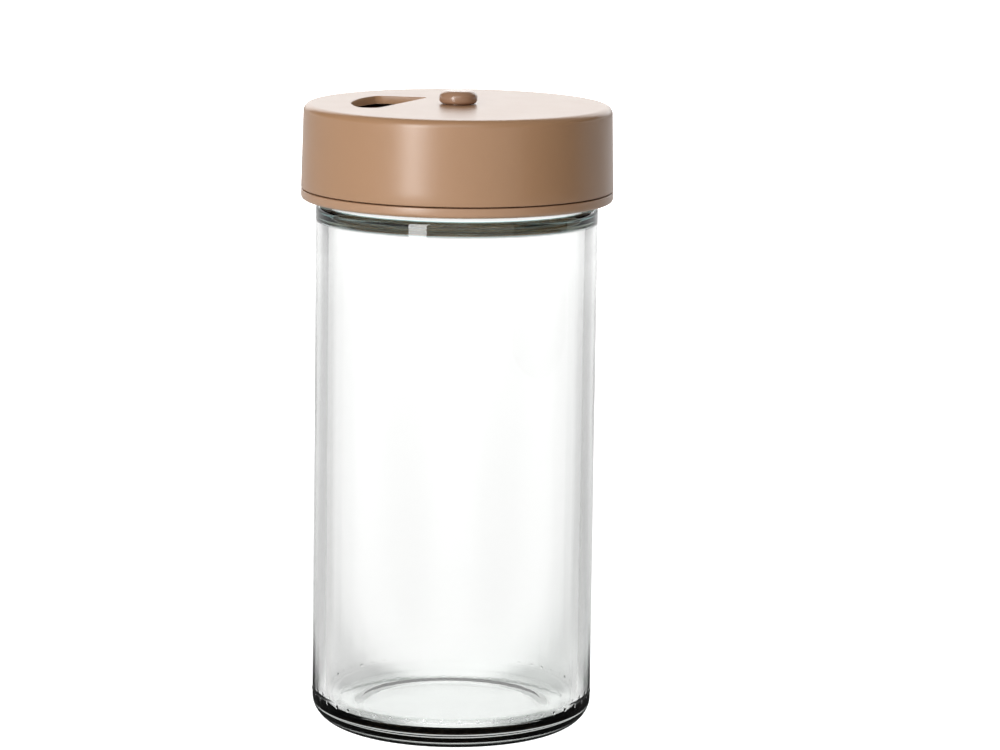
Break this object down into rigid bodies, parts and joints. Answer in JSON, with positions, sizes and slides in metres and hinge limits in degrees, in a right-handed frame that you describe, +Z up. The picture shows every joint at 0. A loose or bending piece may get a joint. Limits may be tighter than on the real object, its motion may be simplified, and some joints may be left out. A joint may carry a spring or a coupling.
{
  "type": "spice jar",
  "caption": "Clear glass spice jar with a screw-on plastic lid whose top cover turns to line its window up with a pouring hole, sprinkle holes or a closed stretch.",
  "frame": {"origin": "middle of the base, on the surface that the jar stands on", "axes": "+Z up along the jar's axis; -Y is the pictured front; +X is to the right in the picture"},
  "size_m": [0.046, 0.046, 0.095],
  "materials": {
    "glass": "clear gloss",
    "seal": "matt",
    "lid_plastic": "satin",
    "dial_plastic": "satin",
    "knob_plastic": "satin gloss"
  },
  "bodies": {
    "jar": {"glass_jar": "glass"},
    "seal": {"sealing_ring": "seal"},
    "cap": {"screw_cap": "lid_plastic", "pivot_knob": "knob_plastic"},
    "dial": {"dial_cover": "dial_plastic"}
  },
  "joints": [
    {"name": "cap_lift", "type": "slide", "parent": "jar", "child": "seal", "axis": [0, 0, 1], "range_m": [0, 0.0127]},
    {"name": "cap_turn", "type": "hinge", "parent": "seal", "child": "cap", "pos_m": [0, 0, 0.08], "axis": [0, 0, 1], "range_deg": [0, 1080]},
    {"name": "dial_turn", "type": "hinge", "parent": "cap", "child": "dial", "pos_m": [0, 0, 0.0924], "axis": [0, 0, 1], "continuous": true}
  ],
  "couplings": [
    {"joint": "cap_lift", "follows": "cap_turn", "m_per_rad": 0.00066845}
  ]
}
